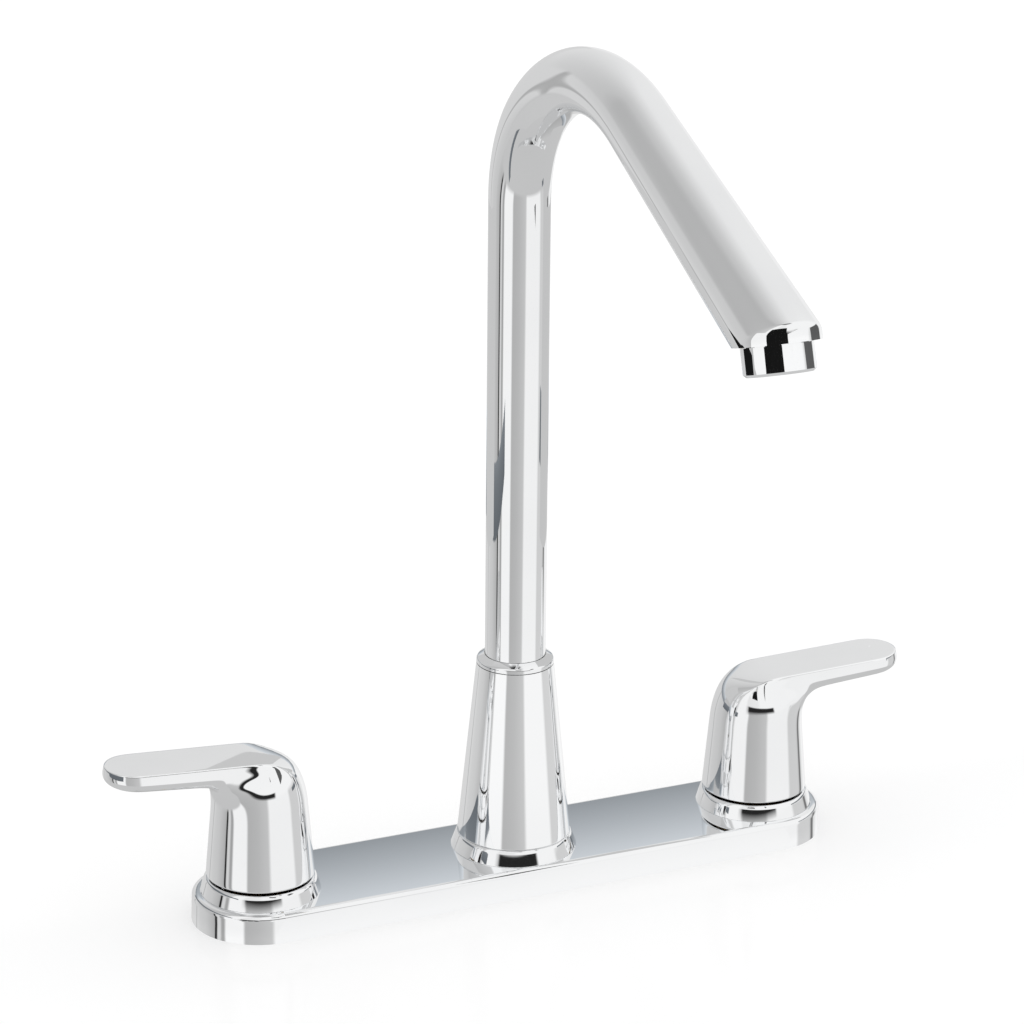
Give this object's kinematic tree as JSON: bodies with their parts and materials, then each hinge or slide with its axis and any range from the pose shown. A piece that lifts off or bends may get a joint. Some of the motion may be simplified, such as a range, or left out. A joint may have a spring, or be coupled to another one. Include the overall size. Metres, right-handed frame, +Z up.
{
  "type": "kitchen mixer tap",
  "caption": "Deck-mounted kitchen mixer tap: two quarter-turn lever handles on a long plate and a high-arc swivel spout with an aerator.",
  "frame": {"origin": "centre of the deck plate's underside, on the sink deck's face, under the spout", "axes": "+X along the plate towards the cold handle, -Y forward towards the user and along the spout, +Z up"},
  "size_m": [0.3196, 0.2342, 0.3774],
  "materials": {
    "chrome": "polished",
    "brass": "machined",
    "copper": "drawn",
    "rubber": "matte",
    "plastic": "matte",
    "ceramic": "lapped",
    "steel": "brushed"
  },
  "bodies": {
    "base": {"cold_body_seal": "rubber", "cold_bonnet_nut": "brass", "cold_cartridge": "brass", "cold_cross_tube": "copper", "cold_fixed_disc": "ceramic", "cold_lock_nut": "brass", "cold_seat_seal": "rubber", "cold_shank_washer": "steel", "cold_trim_ring": "chrome", "cold_valve_body": "brass", "collar_bush": "plastic", "deck_gasket": "rubber", "deck_plate": "chrome", "hot_body_seal": "rubber", "hot_bonnet_nut": "brass", "hot_cartridge": "brass", "hot_cross_tube": "copper", "hot_fixed_disc": "ceramic", "hot_lock_nut": "brass", "hot_seat_seal": "rubber", "hot_shank_washer": "steel", "hot_trim_ring": "chrome", "hot_valve_body": "brass", "hub_base_ring": "chrome", "hub_collar": "chrome", "hub_nut": "brass", "spout_hub": "chrome", "spout_post": "brass", "spout_washer": "plastic"},
    "spout": {"spout_foot": "brass", "spout_o_rings": "rubber", "spout_retaining_ring": "steel", "spout_tube": "chrome", "outlet_insert": "brass", "aerator_housing": "chrome", "aerator_screen": "steel", "aerator_insert": "plastic", "aerator_washer": "rubber"},
    "hot_handle": {"hot_handle": "chrome", "hot_stem": "brass", "hot_moving_disc": "ceramic", "hot_stem_seal": "rubber", "hot_set_screw": "steel"},
    "cold_handle": {"cold_handle": "chrome", "cold_stem": "brass", "cold_moving_disc": "ceramic", "cold_stem_seal": "rubber", "cold_set_screw": "steel"}
  },
  "joints": [
    {"name": "spout_swivel", "type": "hinge", "parent": "base", "child": "spout", "pos_m": [0, 0, 0.03], "axis": [0, 0, 1], "continuous": true},
    {"name": "hot_handle_turn", "type": "hinge", "parent": "base", "child": "hot_handle", "pos_m": [-0.1016, 0, 0.03], "axis": [0, 0, 1], "range_deg": [0, 90]},
    {"name": "cold_handle_turn", "type": "hinge", "parent": "base", "child": "cold_handle", "pos_m": [0.1016, 0, 0.03], "axis": [0, 0, 1], "range_deg": [-90, 0]}
  ]
}
